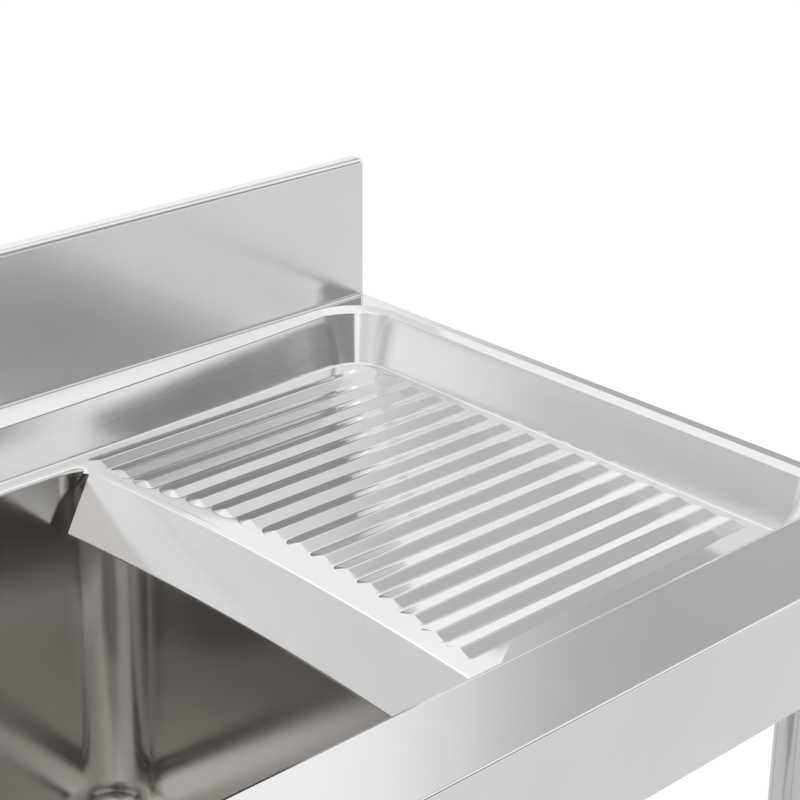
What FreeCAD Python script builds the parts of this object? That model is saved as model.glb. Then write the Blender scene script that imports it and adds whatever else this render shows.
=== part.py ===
import FreeCAD, Part
import Sketcher
import math
import os

# Sink table in millimetres. The origin is on the floor under the middle of the table,
# +X runs to the right along the upstand, +Y to the back and +Z up.

# Driving dimensions, one value each. The groups follow the pieces of the table.
DIMENSIONS = {
    # whole table
    "table_length": 800.0,
    "table_depth": 500.0,
    "table_height": 850.0,
    "deck_sheet": 1.2,
    # skirt of the top deck
    "skirt_height": 70.0,
    "skirt_return": 10.0,
    "deck_corner_radius": 3.0,
    "deck_edge_radius": 1.6,
    # recess: flat rim strips, bevel, wall and floor
    "rim_side": 8.5,
    "rim_back": 2.8,
    "rim_front": 58.0,
    "bevel_width": 4.4,
    "bevel_angle": 30.0,
    "back_wall_bow": 6.5,
    "recess_depth": 38.5,
    "recess_draft": 15.0,
    "recess_corner_radius": 40.0,
    "floor_fillet": 7.5,
    # drip lip at the open end of the drainer
    "drainer_length": 265.0,
    "lip_bow_radius": 1830.0,
    "lip_roll_radius": 5.0,
    "lip_tilt": 30.0,
    "lip_height": 38.2,
    "lip_hem": 10.0,
    "lip_corner_radius": 10.0,
    # pressed ribs of the drainer: a soft wave with hardly any flat between two ribs
    "rib_pitch": 21.34,
    "rib_valley": 0.3,
    "rib_first": 40.1,
    "rib_front_gap": 55.0,
    "rib_height": 2.1,
    "rib_crest_radius": 13.8,
    "rib_end_right": 29.3,
    "rib_end_left": 251.4,
    "rib_end_bow_radius": 530.0,
    "rib_lip_gap": 1.5,
    # folded upstand
    "upstand_height": 100.0,
    "upstand_thickness": 12.0,
    "upstand_sheet": 1.2,
    "upstand_edge_radius": 4.0,
    "upstand_return": 15.0,
    "upstand_foot_fillet": 2.6,
    # bowl
    "bowl_sheet": 1.2,
    "bowl_depth": 255.5,
    "bowl_ledge_left": 81.0,
    "bowl_ledge_back": 35.0,
    "bowl_ledge_front": 93.0,
    "bowl_setback": 15.3,
    "bowl_corner_radius": 40.0,
    "bowl_draft": 2.0,
    "bowl_floor_fillet": 30.0,
    "bowl_flange": 10.0,
    # waste seat in the bowl floor
    "seat_radius": 58.0,
    "seat_depth": 2.5,
    "seat_hole_radius": 44.0,
    # hat channels under the deck
    "channel_width": 40.0,
    "channel_box": 28.0,
    "channel_height": 20.0,
    "channel_sheet": 1.5,
    "channel_end_gap": 0.3,
    # legs and their sockets
    "leg_inset": 49.0,
    "leg_radius": 19.0,
    "leg_wall": 1.5,
    "socket_base": 3.0,
    "socket_wall": 2.8,
    "socket_depth": 45.0,
    "socket_clearance": 0.2,
    "socket_flare": 1.0,
    # levelling feet
    "foot_height": 42.0,
    "foot_travel": 25.0,
    "foot_pad_radius": 13.0,
    "foot_pad_height": 6.0,
    "foot_collar_radius": 18.6,
    "foot_collar_height": 8.0,
    "foot_stem_radius": 7.9,
    "foot_stem_clearance": 0.1,
    "insert_length": 34.0,
    "insert_rim": 3.0,
    "insert_clearance": 0.1,
    # grub screws
    "grub_radius": 3.0,
    "grub_length": 6.0,
    "grub_key_radius": 1.6,
    "grub_key_depth": 3.0,
    # undershelf
    "shelf_height": 200.0,
    "shelf_sheet": 1.2,
    "shelf_edge": 30.0,
    "shelf_return": 12.0,
    "shelf_corner_gap": 0.5,
    "clamp_wall": 4.5,
    "clamp_height": 34.0,
    "clamp_clearance": 0.2,
    "clamp_plate": 3.0,
    "clamp_plate_size": 52.0,
    # waste
    "drain_flange_radius": 56.0,
    "drain_flange_height": 1.6,
    "drain_land_radius": 46.0,
    "drain_slope": 4.0,
    "drain_cup_radius": 43.0,
    "drain_cup_depth": 46.0,
    "drain_wall": 1.5,
    "drain_neck_radius": 22.0,
    "drain_neck_bore": 19.0,
    "drain_neck_length": 22.0,
    "gasket_radius": 55.0,
    "gasket_height": 3.0,
    "washer_height": 1.2,
    "locknut_radius": 53.0,
    "locknut_height": 10.0,
    "locknut_lug": 4.0,
    "locknut_lug_count": 8,
    "ring_clearance": 0.3,
    "tail_radius": 19.0,
    "tail_wall": 1.5,
    "tail_length": 130.0,
    "tail_flange_height": 2.0,
    "tail_shoulder": 1.5,
    "tail_shoulder_length": 4.0,
    "tail_washer_height": 2.0,
    "tail_nut_wall": 4.0,
    "tail_nut_height": 20.0,
    "tail_nut_lip": 3.0,
    "tail_nut_rib": 2.0,
    "tail_nut_rib_count": 12,
    # strainer basket
    "basket_radius": 39.5,
    "basket_rim": 1.4,
    "basket_rim_radius": 45.0,
    "basket_depth": 30.0,
    "basket_wall": 1.0,
    "basket_slot_count": 20,
    "basket_slot_width": 4.0,
    "basket_slot_bottom_gap": 7.0,
    "basket_slot_top_gap": 7.0,
    "basket_hole_count": 12,
    "basket_hole_radius": 2.4,
    "basket_hole_ring": 26.0,
    "stem_radius": 4.0,
    "stem_knob_radius": 9.0,
    "stem_knob_height": 5.0,
    "stem_rise": 9.0,
    "stem_collar": 1.5,
    "seal_radius": 24.0,
    "seal_height": 5.0,
    "seal_gap": 0.3,
    # cuts run past the material by this much
    "overrun": 5.0,
}

doc = FreeCAD.newDocument("sink_table")
sheet = doc.addObject("Spreadsheet::Sheet", "sizes")
for row, (alias, value) in enumerate(DIMENSIONS.items(), start=1):
    cell = "B%d" % row
    sheet.set("A%d" % row, alias)
    sheet.set(cell, str(value))
    sheet.setAlias(cell, alias)
doc.recompute()

parts = []
UP = FreeCAD.Vector(0, 0, 1)
SIDES = {"left": "-1", "right": "1"}
ENDS = {"front": "-1", "back": "1"}


def cells(text):
    """Turn an expression written with plain size names into one that reads the sheet."""
    words = sorted(DIMENSIONS, key=len, reverse=True)
    result = []
    place = 0
    while place < len(text):
        for word in words:
            if text.startswith(word, place):
                result.append("sizes." + word)
                place += len(word)
                break
        else:
            result.append(text[place])
            place += 1
    return "".join(result)


def number(text):
    """The value of an expression in the sheet's sizes."""
    return float(sheet.evalExpression(cells(text)))


# Places that several pieces share, as expressions in the sheet's sizes.
RIM = "table_height"
DECK_UNDER = "(table_height - recess_depth - deck_sheet)"
HALF_X = "(table_length / 2)"
HALF_Y = "(table_depth / 2)"
SPLASH_Y = "(table_depth / 2 - upstand_thickness)"
LEG_X = "(table_length / 2 - leg_inset)"
LEG_Y = "(table_depth / 2 - leg_inset)"
SOCKET_TOP = "(table_height - recess_depth - deck_sheet - channel_height)"
LEG_TOP = "(table_height - recess_depth - deck_sheet - channel_height - socket_base)"
LIP_X = "(table_length / 2 - drainer_length)"
BOWL_LEFT = "(bowl_ledge_left - table_length / 2)"
BOWL_RIGHT = "(table_length / 2 - drainer_length + bowl_setback)"
BOWL_BACK = "(table_depth / 2 - upstand_thickness - bowl_ledge_back)"
BOWL_FRONT = "(bowl_ledge_front - table_depth / 2)"
BOWL_FLOOR = "(table_height - recess_depth - bowl_depth)"
DRAIN_X = "((%s + %s) / 2)" % (BOWL_LEFT, BOWL_RIGHT)
DRAIN_Y = "((%s + %s) / 2)" % (BOWL_FRONT, BOWL_BACK)
SEAT = "(table_height - recess_depth - bowl_depth - seat_depth)"


def sketch_on(body, role, name, points=(), circles=()):
    """A sketch on one of the body's own origin planes, each size bound to the sheet."""
    sketch = body.newObject("Sketcher::SketchObject", name)
    plane = [item for item in body.Origin.OriginFeatures if item.Role == role][0]
    sketch.AttachmentSupport = [(plane, "")]
    sketch.MapMode = "FlatFace"
    places = [FreeCAD.Vector(number(x), number(y), 0) for x, y in points]
    for index, start in enumerate(places):
        end = places[(index + 1) % len(places)]
        sketch.addGeometry(Part.LineSegment(start, end), False)
    for index in range(len(places)):
        following = (index + 1) % len(places)
        sketch.addConstraint(Sketcher.Constraint("Coincident", index, 2, following, 1))
    for index, (x, y) in enumerate(points):
        bind(sketch, "DistanceX", index, 1, places[index].x, x)
        bind(sketch, "DistanceY", index, 1, places[index].y, y)
    for x, y, radius in circles:
        centre = FreeCAD.Vector(number(x), number(y), 0)
        shape = Part.Circle(centre, UP, number(radius))
        index = sketch.addGeometry(shape, False)
        bind(sketch, "DistanceX", index, 3, centre.x, x)
        bind(sketch, "DistanceY", index, 3, centre.y, y)
        rule = sketch.addConstraint(Sketcher.Constraint("Radius", index, number(radius)))
        sketch.setExpression("Constraints[%d]" % rule, cells(radius))
    return sketch


def bind(sketch, kind, index, end, value, text):
    rule = sketch.addConstraint(Sketcher.Constraint(kind, -1, 1, index, end, value))
    sketch.setExpression("Constraints[%d]" % rule, cells(text))


def new_body(label, x="0", y="0", z="0", turn="0"):
    """An empty body that stands at a place bound to the sheet."""
    body = doc.addObject("PartDesign::Body", label)
    body.Label = label
    for axis, text in (("x", x), ("y", y), ("z", z)):
        body.setExpression("Placement.Base." + axis, cells(text))
    body.Placement.Rotation = FreeCAD.Rotation(UP, number(turn))
    parts.append(body)
    return body


def feature(body, kind, name, sketch, **values):
    """Add one sketch-based feature. Text values are expressions, the rest are set as they are."""
    item = body.newObject("PartDesign::" + kind, name)
    item.Profile = sketch
    for key, value in values.items():
        if isinstance(value, str):
            item.setExpression(key, cells(value))
        else:
            setattr(item, key, value)
    return item


def turned(body, name, points, kind="Revolution"):
    """Turn a closed outline of (radius, height) points about the body's Z axis."""
    sketch = sketch_on(body, "XZ_Plane", name + "_outline", points=points)
    item = body.newObject("PartDesign::" + kind, name)
    item.Profile = sketch
    item.ReferenceAxis = (sketch, ["V_Axis"])
    item.Angle = 360
    return item


def ring_of(body, name, base, number_of):
    """Repeat a feature evenly round the body's Z axis."""
    pattern = body.newObject("PartDesign::PolarPattern", name)
    pattern.Originals = [base]
    axis = [item for item in body.Origin.OriginFeatures if item.Role == "Z_Axis"][0]
    pattern.Axis = (axis, [""])
    pattern.Angle = 360
    pattern.setExpression("Occurrences", cells(number_of))
    body.Tip = pattern
    return pattern


def rounded(body, name, kind, size, wanted):
    """Fillet or chamfer the edges of the body's tip that the test picks."""
    doc.recompute()
    tip = body.Tip
    names = ["Edge%d" % (i + 1) for i, edge in enumerate(tip.Shape.Edges) if wanted(edge)]
    if not names:
        raise ValueError("no edge found for " + name)
    item = body.newObject("PartDesign::" + kind, name)
    item.Base = (tip, names)
    key = "Radius" if kind == "Fillet" else "Size"
    item.setExpression(key, cells(size))
    return item


def rectangle(x0, y0, x1, y1):
    return [(x0, y0), (x1, y0), (x1, y1), (x0, y1)]


def plain_part(label, shape):
    """A piece whose form needs curves that sketches of lines and circles don't give."""
    item = doc.addObject("Part::Feature", label)
    item.Label = label
    item.Shape = shape
    item.Placement = FreeCAD.Placement()
    parts.append(item)
    return item


def line(a, b):
    return Part.LineSegment(a, b).toShape()


def arc(a, middle, b):
    return Part.Arc(a, middle, b).toShape()


def bulge(centre, radius, a, b):
    """The short arc from a to b round a centre."""
    middle = (a + b) * 0.5 - centre
    middle.normalize()
    return arc(a, centre + middle * radius, b)


def recess_loop(z, grow):
    """Outline of the recess wall at height z: straight sides and a slightly bowed back.

    The wall leans outwards from the lower edge of the bevel's ring. grow moves it outwards,
    square to itself.
    """
    draft = math.radians(number("recess_draft"))
    bevel_foot = number(RIM) - number("bevel_width") * math.tan(math.radians(number("bevel_angle")))
    grow = grow / math.cos(draft) + (z - bevel_foot) * math.tan(draft)
    inset = number("rim_side + bevel_width")
    half = number(HALF_X) - inset
    front = -number(HALF_Y) + number("rim_front + bevel_width")
    bow = number("back_wall_bow")
    back = number(SPLASH_Y) - number("rim_back + bevel_width")
    radius = number("recess_corner_radius - bevel_width") + grow
    bow_radius = (half * half + bow * bow) / (2 * bow)
    bow_centre = FreeCAD.Vector(0, back - bow + bow_radius, z)
    half += grow
    front -= grow
    bow_radius -= grow
    reach = half - radius
    corner_y = bow_centre.y - math.sqrt((bow_radius + radius) ** 2 - reach ** 2)
    edges = []
    right = FreeCAD.Vector(reach, corner_y, z)
    left = FreeCAD.Vector(-reach, corner_y, z)
    top_right = bow_centre + (right - bow_centre) * (bow_radius / (bow_radius + radius))
    top_left = bow_centre + (left - bow_centre) * (bow_radius / (bow_radius + radius))
    low = front + radius
    edges.append(line(FreeCAD.Vector(half, low, z), FreeCAD.Vector(half, corner_y, z)))
    edges.append(bulge(right, radius, FreeCAD.Vector(half, corner_y, z), top_right))
    middle = FreeCAD.Vector(0, bow_centre.y - bow_radius, z)
    edges.append(arc(top_right, middle, top_left))
    edges.append(bulge(left, radius, top_left, FreeCAD.Vector(-half, corner_y, z)))
    edges.append(line(FreeCAD.Vector(-half, corner_y, z), FreeCAD.Vector(-half, low, z)))
    low_left = FreeCAD.Vector(-reach, low, z)
    low_right = FreeCAD.Vector(reach, low, z)
    corner_a = FreeCAD.Vector(-reach, front, z)
    corner_b = FreeCAD.Vector(reach, front, z)
    edges.append(bulge(low_left, radius, FreeCAD.Vector(-half, low, z), corner_a))
    edges.append(line(corner_a, corner_b))
    edges.append(bulge(low_right, radius, corner_b, FreeCAD.Vector(half, low, z)))
    return Part.Wire(edges)


def box_loop(x0, y0, x1, y1, radius, z):
    """A rectangle with rounded corners at height z."""
    vector = FreeCAD.Vector
    corners = [
        (vector(x1 - radius, y0 + radius, z), vector(x1 - radius, y0, z), vector(x1, y0 + radius, z)),
        (vector(x1 - radius, y1 - radius, z), vector(x1, y1 - radius, z), vector(x1 - radius, y1, z)),
        (vector(x0 + radius, y1 - radius, z), vector(x0 + radius, y1, z), vector(x0, y1 - radius, z)),
        (vector(x0 + radius, y0 + radius, z), vector(x0, y0 + radius, z), vector(x0 + radius, y0, z)),
    ]
    edges = []
    for index, (centre, start, end) in enumerate(corners):
        edges.append(bulge(centre, radius, start, end))
        edges.append(line(end, corners[(index + 1) % len(corners)][1]))
    return Part.Wire(edges)


def prism(wire, height):
    return Part.Face(wire).extrude(FreeCAD.Vector(0, 0, height))


def edges_at(shape, z):
    """Edges that lie wholly at one height."""
    found = []
    for edge in shape.Edges:
        box = edge.BoundBox
        if abs(box.ZMin - z) < number("deck_sheet") / 100 and box.ZLength < number("deck_sheet") / 100:
            found.append(edge)
    return found


def recess_void(grow):
    """The space of the recess: bevel above, leaning wall below and a filleted floor.

    grow is the sheet's thickness for the underside and zero for the upper face.
    """
    top = number(RIM)
    floor = top - number("recess_depth") - grow
    low_loop = recess_loop(floor, grow)
    high_loop = recess_loop(top + number("overrun"), grow)
    wall = Part.makeLoft([low_loop, high_loop], True, True)
    wall = wall.makeFillet(number("floor_fillet") + grow, edges_at(wall, floor))
    slope = math.tan(math.radians(number("bevel_angle")))
    spread = grow / math.sin(math.radians(number("bevel_angle")))
    inset = number("bevel_width + back_wall_bow + floor_fillet") + grow
    half = number(HALF_X) - number("rim_side") + spread
    front = -number(HALF_Y) + number("rim_front") - spread
    back = number(SPLASH_Y) - number("rim_back") + spread
    radius = number("recess_corner_radius") + spread
    outer = box_loop(-half, front, half, back, radius, top)
    shrunk = radius - inset
    inner = box_loop(inset - half, front + inset, half - inset, back - inset, shrunk, top - inset * slope)
    bevel = Part.makeLoft([outer, inner], True, True)
    return wall.fuse(bevel)


def deck_block(grow):
    """The space inside the skirt, up to the rim. grow is zero outside and the sheet inside."""
    length = number("table_length") - 2 * grow
    depth = number("table_depth") - 2 * grow
    bottom = number("table_height - skirt_height")
    height = number("skirt_height") - grow
    radius = number("deck_corner_radius") - grow
    corner = FreeCAD.Vector(-length / 2, -depth / 2, bottom)
    loop = box_loop(corner.x, corner.y, -corner.x, -corner.y, radius, bottom)
    block = prism(loop, height)
    edge = number("deck_edge_radius") - grow
    return block.makeFillet(edge, edges_at(block, bottom + height))


def lip_edge_geometry():
    """Centre of the bowed lip and the corner points where its roll-over starts and ends."""
    radius = number("lip_bow_radius")
    centre = FreeCAD.Vector(number(LIP_X) - radius, (number(BOWL_BACK) + number(BOWL_FRONT)) / 2, 0)
    edge = radius + number("lip_roll_radius")
    corner = number("lip_corner_radius")
    back = FreeCAD.Vector(0, number(BOWL_BACK) - corner, 0)
    front = FreeCAD.Vector(0, number(BOWL_FRONT) + corner, 0)
    for point in (back, front):
        point.x = centre.x + math.sqrt((edge - corner) ** 2 - (point.y - centre.y) ** 2)
    return centre, edge, corner, back, front


def bowl_opening(z, height):
    """The hole in the recess floor over the bowl, with the bowed edge of the lip on its right."""
    centre, edge, corner, back, front = lip_edge_geometry()
    lift = FreeCAD.Vector(0, 0, z)
    centre = centre + lift
    back = back + lift
    front = front + lift
    x0 = number(BOWL_LEFT)
    y0 = number(BOWL_FRONT)
    y1 = number(BOWL_BACK)
    radius = number("bowl_corner_radius")
    vector = FreeCAD.Vector
    meets_back = centre + (back - centre) * (edge / (edge - corner))
    meets_front = centre + (front - centre) * (edge / (edge - corner))
    top = vector(back.x, y1, z)
    bottom = vector(front.x, y0, z)
    left_back = vector(x0 + radius, y1 - radius, z)
    left_front = vector(x0 + radius, y0 + radius, z)
    edges = [
        bulge(centre, edge, meets_front, meets_back),
        bulge(back, corner, meets_back, top),
        line(top, vector(x0 + radius, y1, z)),
        bulge(left_back, radius, vector(x0 + radius, y1, z), vector(x0, y1 - radius, z)),
        line(vector(x0, y1 - radius, z), vector(x0, y0 + radius, z)),
        bulge(left_front, radius, vector(x0, y0 + radius, z), vector(x0 + radius, y0, z)),
        line(vector(x0 + radius, y0, z), bottom),
        bulge(front, corner, bottom, meets_front),
    ]
    return prism(Part.Wire(edges), height)


def drip_lip():
    """The drainer's edge: rolled over, down into the bowl at a tilt and folded back on itself."""
    centre, edge, corner, back, front = lip_edge_geometry()
    sheet_t = number("deck_sheet")
    roll = number("lip_roll_radius")
    floor = number(RIM) - number("recess_depth")
    tilt = math.radians(number("lip_tilt"))
    down = FreeCAD.Vector(-math.sin(tilt), 0, -math.cos(tilt))
    out = FreeCAD.Vector(-math.cos(tilt), 0, math.sin(tilt))
    half_out = UP + out
    half_out.normalize()
    roll_centre = FreeCAD.Vector(centre.x + edge, centre.y, floor - roll)
    roll_end = roll_centre + out * roll
    drop = roll_end.z - floor + number("lip_height") - sheet_t * (1 + math.sin(tilt))
    fold = roll_end + down * (drop / math.cos(tilt)) - out * sheet_t
    inner_end = roll_end - out * sheet_t
    hem_end = fold - down * number("lip_hem")
    start_top = roll_centre + UP * roll
    start_under = roll_centre + UP * (roll - sheet_t)
    edges = [
        arc(start_top, roll_centre + half_out * roll, roll_end),
        line(roll_end, fold + out * sheet_t),
        arc(fold + out * sheet_t, fold + down * sheet_t, fold - out * sheet_t),
        line(fold - out * sheet_t, hem_end - out * sheet_t),
        line(hem_end - out * sheet_t, hem_end),
        line(hem_end, inner_end),
        arc(inner_end, roll_centre + half_out * (roll - sheet_t), start_under),
        line(start_under, start_top),
    ]
    section = Part.Face(Part.Wire(edges))
    start = math.degrees(math.atan2(front.y - centre.y, front.x - centre.x))
    end = math.degrees(math.atan2(back.y - centre.y, back.x - centre.x))
    section.rotate(centre, UP, start)
    return section.revolve(centre, UP, end - start)


def rib_tip(y):
    """Where the left end of the rib at y lies: on an arc of its own, but clear of the lip's edge."""
    centre, edge, corner, back, front = lip_edge_geometry()
    bow = number("rib_end_bow_radius")
    sag = bow - math.sqrt(bow * bow - (y - centre.y) ** 2)
    on_arc = number(HALF_X) - number("rib_end_left") - sag
    at_lip = centre.x + math.sqrt(edge * edge - (y - centre.y) ** 2) + number("rib_lip_gap")
    return max(on_arc, at_lip)


def rib(y, grow):
    """One pressed rib: an S-shaped section along X with rounded ends.

    grow is zero for the upper face and minus the sheet for the hollow underneath.
    """
    floor = number(RIM) - number("recess_depth")
    height = number("rib_height")
    half = number("rib_pitch - rib_valley") / 2
    crest = number("rib_crest_radius")
    slope = 2 * math.atan(height / half)
    base = half / math.sin(slope) - crest
    z_crest = floor + height - crest
    z_base = floor + base
    crest += grow
    base -= grow
    x_right = number(HALF_X) - number("rib_end_right") - half
    x_left = rib_tip(y) + half
    low = floor + grow

    def at(side, z):
        return FreeCAD.Vector(0, side, z)

    joint_y = crest * math.sin(slope)
    joint_z = z_crest + crest * math.cos(slope)
    mid_y = crest * math.sin(slope / 2)
    mid_z = z_crest + crest * math.cos(slope / 2)
    base_y = half - base * math.sin(slope / 2)
    base_z = z_base - base * math.cos(slope / 2)
    foot = at(half, low)
    half_section = [
        line(at(0, low), foot),
        arc(foot, at(base_y, base_z), at(joint_y, joint_z)),
        arc(at(joint_y, joint_z), at(mid_y, mid_z), at(0, z_crest + crest)),
        line(at(0, z_crest + crest), at(0, low)),
    ]
    half_face = Part.Face(Part.Wire(half_section))
    other = half_face.mirror(FreeCAD.Vector(), FreeCAD.Vector(0, 1, 0))
    along = FreeCAD.Vector(x_right - x_left, 0, 0)
    solids = []
    for face in (half_face, other):
        body = face.extrude(along)
        body.translate(FreeCAD.Vector(x_left, y, 0))
        solids.append(body)
    for x, turn in ((x_left, 180), (x_right, -180)):
        end = half_face.copy()
        end = end.revolve(FreeCAD.Vector(), UP, turn)
        end.translate(FreeCAD.Vector(x, y, 0))
        solids.append(end)
    return solids[0].multiFuse(solids[1:]).removeSplitter()


def top_deck():
    """Pressed deck: skirt, rim, bevelled recess, ribbed drainer, bowl opening and drip lip."""
    sheet_t = number("deck_sheet")
    upper = deck_block(0.0).cut(recess_void(0.0))
    under = deck_block(sheet_t).cut(recess_void(sheet_t))
    opening = number("skirt_return")
    low = number("table_height - skirt_height")
    mouth_x = number(HALF_X) - opening
    mouth_y = number(HALF_Y) - opening
    mouth = Part.makeBox(
        2 * mouth_x, 2 * mouth_y, sheet_t + number("overrun"),
        FreeCAD.Vector(-mouth_x, -mouth_y, low - number("overrun")))
    slab = Part.makeBox(
        number("table_length"), number("table_depth"), sheet_t,
        FreeCAD.Vector(-number(HALF_X), -number(HALF_Y), low))
    under = under.cut(slab)
    deck = upper.cut(under).cut(mouth)
    floor = number(RIM) - number("recess_depth")
    deck = deck.cut(bowl_opening(floor - number("overrun"), 2 * number("overrun")))
    deck = deck.fuse(drip_lip())
    ribs = []
    hollows = []
    y = number(SPLASH_Y) - number("rib_first")
    last = number("rim_front + bevel_width + rib_front_gap") - number(HALF_Y)
    while y > last:
        ribs.append(rib(y, 0.0))
        hollows.append(rib(y, -sheet_t))
        y -= number("rib_pitch")
    deck = deck.multiFuse(ribs)
    deck = deck.cut(hollows)
    return deck.removeSplitter()


def upstand():
    """Folded splash: front sheet, closed ends, rounded top and a short return behind."""
    sheet_t = number("upstand_sheet")
    length = number("table_length")
    deep = number("upstand_thickness")
    high = number("upstand_height")
    low = number(RIM)
    front = number(SPLASH_Y)
    corner = number("upstand_edge_radius")

    def shell(grow):
        block = Part.makeBox(
            length - 2 * grow, deep - grow + number("overrun"), high - grow + number("overrun"),
            FreeCAD.Vector(grow - length / 2, front + grow, low - number("overrun")))
        reach = length / 2 - grow
        picked = []
        for edge in block.Edges:
            box = edge.BoundBox
            at_front = box.YLength < sheet_t and abs(box.YMin - front - grow) < sheet_t / 10
            at_top = box.ZLength < sheet_t and abs(box.ZMin - (low + high - grow)) < sheet_t / 10
            at_end = box.XLength < sheet_t and abs(abs(box.XMin) - reach) < sheet_t / 10
            if at_front and (at_top or at_end):
                picked.append(edge)
            elif at_top and at_end:
                picked.append(edge)
        return block.makeFillet(corner - grow, picked)

    back = front + deep
    keep = Part.makeBox(length, deep, high, FreeCAD.Vector(-length / 2, front, low))
    outer = shell(0.0).common(keep)
    inner = shell(sheet_t)
    window = Part.makeBox(
        length - 2 * number("upstand_return"), number("overrun"),
        high - number("upstand_return") + number("overrun"),
        FreeCAD.Vector(number("upstand_return") - length / 2, back - sheet_t, low - number("overrun")))
    behind = Part.makeBox(length, 2 * number("overrun"), 2 * high,
                          FreeCAD.Vector(-length / 2, back - sheet_t, low - high / 2))
    folded = outer.cut(inner.cut(behind)).cut(window.fuse(window))
    fillet = number("upstand_foot_fillet")
    reach = length / 2 - corner
    vector = FreeCAD.Vector
    lean = fillet * (1 - math.sqrt(0.5))
    foot_section = Part.Wire([
        line(vector(-reach, front, low), vector(-reach, front, low + fillet)),
        arc(vector(-reach, front, low + fillet), vector(-reach, front - lean, low + lean),
            vector(-reach, front - fillet, low)),
        line(vector(-reach, front - fillet, low), vector(-reach, front, low)),
    ])
    foot = Part.Face(foot_section).extrude(vector(2 * reach, 0, 0))
    return folded.fuse(foot).removeSplitter()


def bowl():
    """Drawn bowl with drafted walls, a flange under the deck and a sunk seat for the waste."""
    sheet_t = number("bowl_sheet")
    x0 = number(BOWL_LEFT)
    x1 = number(BOWL_RIGHT)
    y0 = number(BOWL_FRONT)
    y1 = number(BOWL_BACK)
    radius = number("bowl_corner_radius")
    top = number(DECK_UNDER)
    floor = number(BOWL_FLOOR)
    taper = math.tan(math.radians(number("bowl_draft")))
    drain = FreeCAD.Vector(number(DRAIN_X), number(DRAIN_Y), 0)

    def vessel(grow):
        bottom = floor - grow
        shrink = (top - bottom) * taper
        upper = box_loop(x0 - grow, y0 - grow, x1 + grow, y1 + grow, radius + grow, top)
        lower = box_loop(x0 - grow + shrink, y0 - grow + shrink, x1 + grow - shrink,
                         y1 + grow - shrink, radius + grow - shrink, bottom)
        body = Part.makeLoft([lower, upper], True, True)
        body = body.makeFillet(number("bowl_floor_fillet") + grow, edges_at(body, bottom))
        seat_floor = floor - number("seat_depth") - grow
        seat = Part.makeCylinder(number("seat_radius") + grow, number("seat_depth + overrun"),
                                 drain + UP * seat_floor)
        return body.fuse(seat)

    wall = number("bowl_flange")
    flange_loop = box_loop(x0 - wall, y0 - wall, x1 + wall, y1 + wall, radius + wall, top - sheet_t)
    flange = prism(flange_loop, sheet_t)
    hole = Part.makeCylinder(number("seat_hole_radius"), number("seat_depth") + 4 * number("overrun"),
                             drain + UP * (floor - number("seat_depth") - 2 * number("overrun")))
    mouth_gap = box_loop(x0, y0, x1, y1, radius, top)
    mouth = prism(mouth_gap, number("overrun"))
    solid = vessel(sheet_t).fuse(flange).cut(vessel(0.0)).cut(hole).cut(mouth)
    return solid.removeSplitter()


def channel(label, along, length, x, y, z):
    """Folded hat section, open side up, with its flanges against the sheet above."""
    half = "channel_width / 2"
    box = "channel_box / 2"
    wall = "channel_sheet"
    deep = "channel_height"
    points = [
        ("-%s" % half, "0"), ("-%s" % half, "-%s" % wall),
        ("-%s" % box, "-%s" % wall), ("-%s" % box, "-%s" % deep),
        (box, "-%s" % deep), (box, "-%s" % wall),
        (half, "-%s" % wall), (half, "0"),
        ("%s - %s" % (box, wall), "0"), ("%s - %s" % (box, wall), "%s - %s" % (wall, deep)),
        ("%s - %s" % (wall, box), "%s - %s" % (wall, deep)), ("%s - %s" % (wall, box), "0"),
    ]
    body = new_body(label, x, y, z)
    role = "XZ_Plane" if along == "y" else "YZ_Plane"
    outline = sketch_on(body, role, label + "_outline", points=points)
    feature(body, "Pad", label + "_fold", outline, Length=length, Midplane=True)
    return body


def leg_socket(label, x, y, turn):
    """Cup with a round base that is welded to the channel, bored across for its grub screw."""
    inner = "leg_radius + socket_clearance"
    outer = "leg_radius + socket_clearance + socket_wall"
    body = new_body(label, x, y, SOCKET_TOP, turn=turn)
    turned(body, label + "_cup", [
        ("0", "0"), ("%s - socket_flare" % outer, "0"), ("%s - socket_flare" % outer, "-socket_base"),
        (outer, "-socket_depth"), (inner, "-socket_depth"), (inner, "-socket_base"), ("0", "-socket_base"),
    ])
    screw_hole(body, label, "-socket_depth / 2", outer)
    return body


def leg_tube(label, x, y):
    """Plain round tube from the socket down to the foot."""
    body = new_body(label, x, y, "foot_height")
    outline = sketch_on(body, "XY_Plane", label + "_outline",
                        circles=[("0", "0", "leg_radius"), ("0", "0", "leg_radius - leg_wall")])
    feature(body, "Pad", label + "_tube", outline, Length="%s - foot_height" % LEG_TOP)
    return body


def foot_insert(label, x, y):
    """Threaded plug pressed into the leg, with a rim that the tube stands on."""
    outer = "leg_radius - leg_wall - insert_clearance"
    bore = "foot_stem_radius + foot_stem_clearance"
    body = new_body(label, x, y, "foot_height")
    turned(body, label + "_plug", [
        (bore, "-insert_rim"), ("leg_radius", "-insert_rim"), ("leg_radius", "0"),
        (outer, "0"), (outer, "insert_length"), (bore, "insert_length"),
    ])
    return body


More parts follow.
